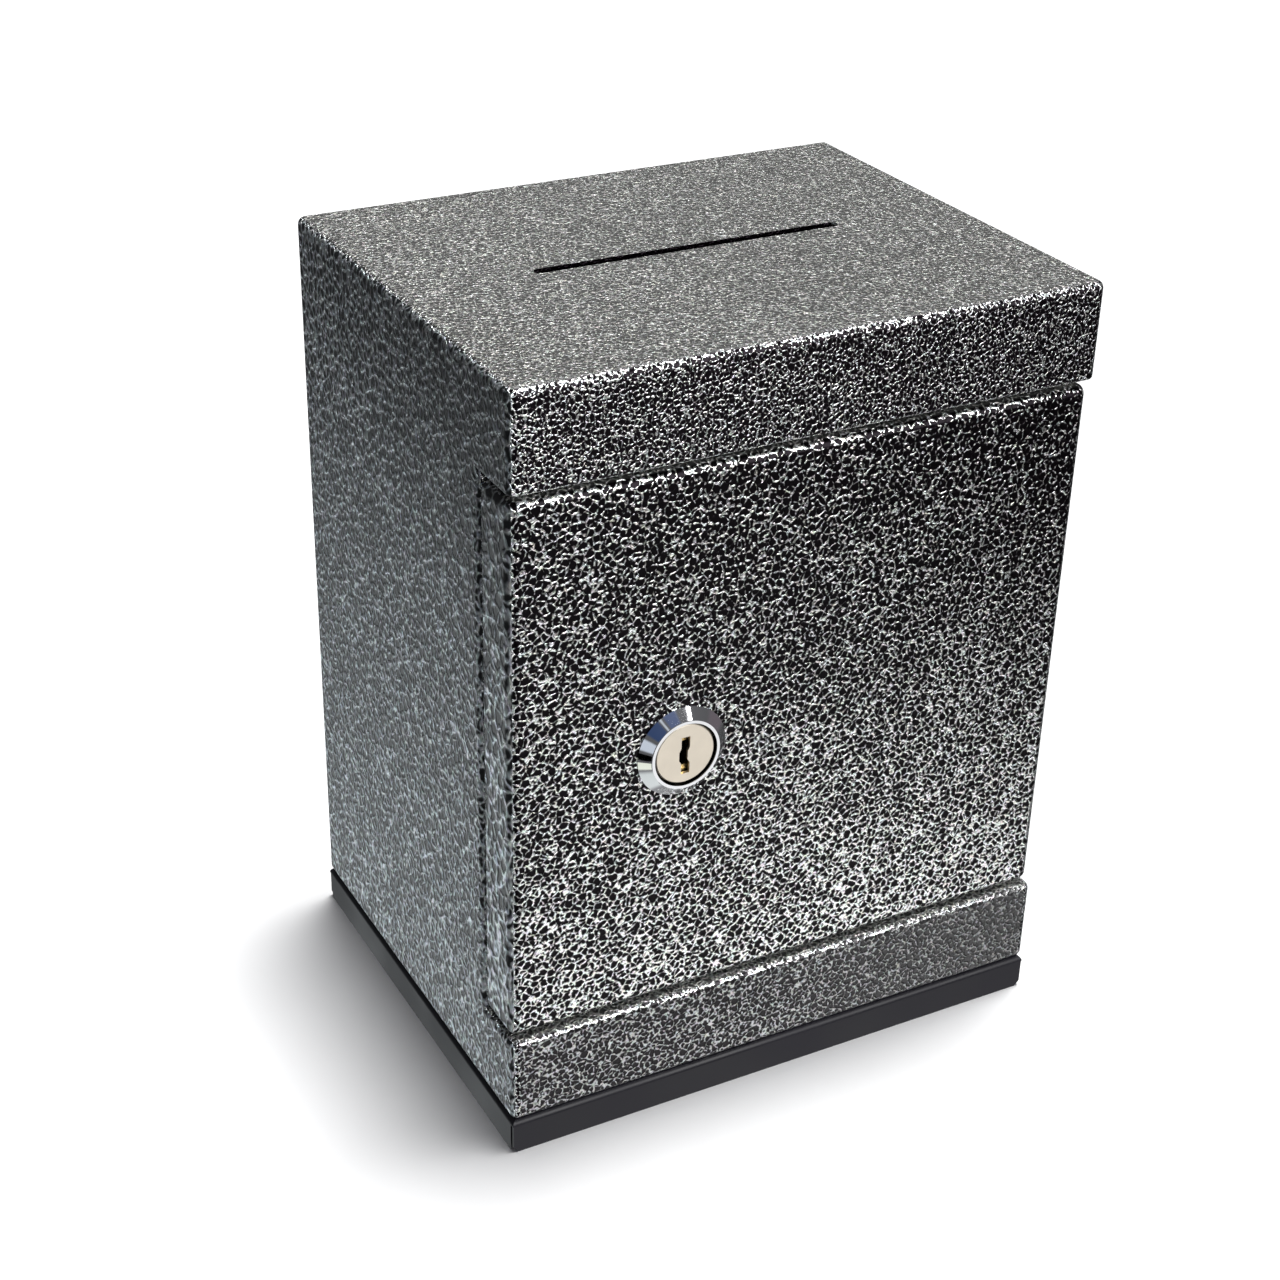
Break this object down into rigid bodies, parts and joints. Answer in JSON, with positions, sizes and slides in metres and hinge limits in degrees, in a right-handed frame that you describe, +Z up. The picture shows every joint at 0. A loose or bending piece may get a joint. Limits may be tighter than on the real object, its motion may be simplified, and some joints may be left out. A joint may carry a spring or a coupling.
{
  "type": "toy safe coin bank",
  "caption": "Small folded sheet steel safe for savings, with a note slot in the top, a pin-hung front door, a cam lock and a black base tray.",
  "frame": {"origin": "middle of the footprint, on the surface that the safe stands on", "axes": "+Z up, +Y from the door to the back, +X to the right seen from the front"},
  "size_m": [0.15, 0.1218, 0.1985],
  "materials": {
    "hammertone_paint": "hammertone enamel, black cells in a silver network",
    "black_paint": "satin black",
    "rivet_aluminium": "plain",
    "zinc_steel": "zinc plated",
    "nylon": "natural",
    "bezel_chrome": "polished chrome plate",
    "plug_nickel": "satin nickel plate",
    "wafer_brass": "plain"
  },
  "bodies": {
    "case": {"case_wrap": "hammertone_paint", "kick_panel": "hammertone_paint", "cap_rail": "hammertone_paint", "back_panel": "hammertone_paint", "back_rivets": "rivet_aluminium", "base_tray": "black_paint", "base_screws": "zinc_steel", "upper_hinge_pin": "zinc_steel", "lower_hinge_pin": "zinc_steel", "upper_hinge_washer": "nylon", "lower_hinge_washer": "nylon"},
    "door": {"door_skin": "hammertone_paint", "lock_housing": "bezel_chrome", "lock_washer": "zinc_steel", "lock_nut": "zinc_steel"},
    "lock_rotor": {"lock_plug": "plug_nickel", "lock_wafers": "wafer_brass", "plug_stop": "zinc_steel", "lock_cam": "zinc_steel", "cam_washer": "zinc_steel", "cam_screw": "zinc_steel"}
  },
  "joints": [
    {"name": "door_hinge", "type": "hinge", "parent": "case", "child": "door", "pos_m": [0.0705, -0.0525, 0.103], "axis": [0, 0, 1], "range_deg": [0, 180]},
    {"name": "lock_turn", "type": "hinge", "parent": "door", "child": "lock_rotor", "pos_m": [-0.0313, -0.053, 0.1017], "axis": [0, 1, 0], "range_deg": [0, 90]}
  ]
}
